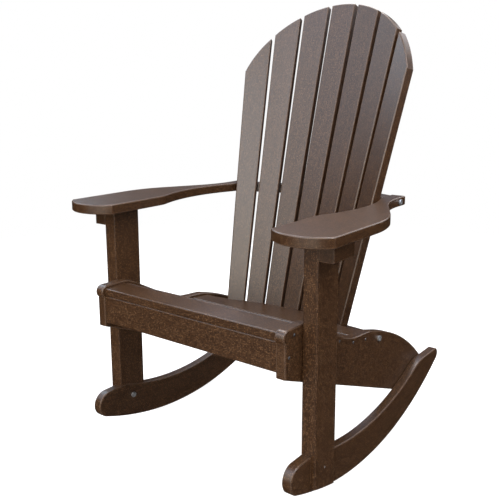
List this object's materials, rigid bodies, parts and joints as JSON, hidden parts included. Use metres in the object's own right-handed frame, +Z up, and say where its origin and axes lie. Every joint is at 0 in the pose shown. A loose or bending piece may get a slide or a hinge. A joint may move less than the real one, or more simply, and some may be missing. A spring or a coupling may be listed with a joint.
{
  "type": "rocking adirondack chair",
  "caption": "Rocking adirondack chair of dark brown plastic boards: fan back of tapered slats, wide curved arms, scooped seat and side rockers.",
  "frame": {"origin": "on the floor, halfway across and halfway from the fronts of the arms to the tails of the rockers", "axes": "+X to the sitter's left, -Y to the front of the seat, +Z up"},
  "size_m": [0.807, 0.8279, 1.1984],
  "materials": {
    "board": "satin embossed plastic board, dark brown with fine light flecks",
    "steel": "plain stainless steel screws and bolts"
  },
  "bodies": {
    "root": {"back_slat_1": "board", "back_slat_2": "board", "back_slat_3": "board", "back_slat_4": "board", "back_slat_5": "board", "back_slat_6": "board", "back_slat_7": "board", "front_apron": "board", "front_seat_slat": "board", "left_arm": "board", "left_arm_cleat": "board", "left_front_leg": "board", "left_rocker": "board", "left_side_rail": "board", "lower_back_rail": "board", "rear_seat_slat": "board", "right_arm": "board", "right_arm_cleat": "board", "right_front_leg": "board", "right_rocker": "board", "right_side_rail": "board", "seat_slat_2": "board", "seat_slat_3": "board", "seat_slat_4": "board", "seat_slat_5": "board", "upper_back_rail": "board", "leg_bolts": "steel", "rocker_bolts": "steel", "lower_rail_bolts": "steel", "arm_bolts": "steel"}
  },
  "joints": []
}
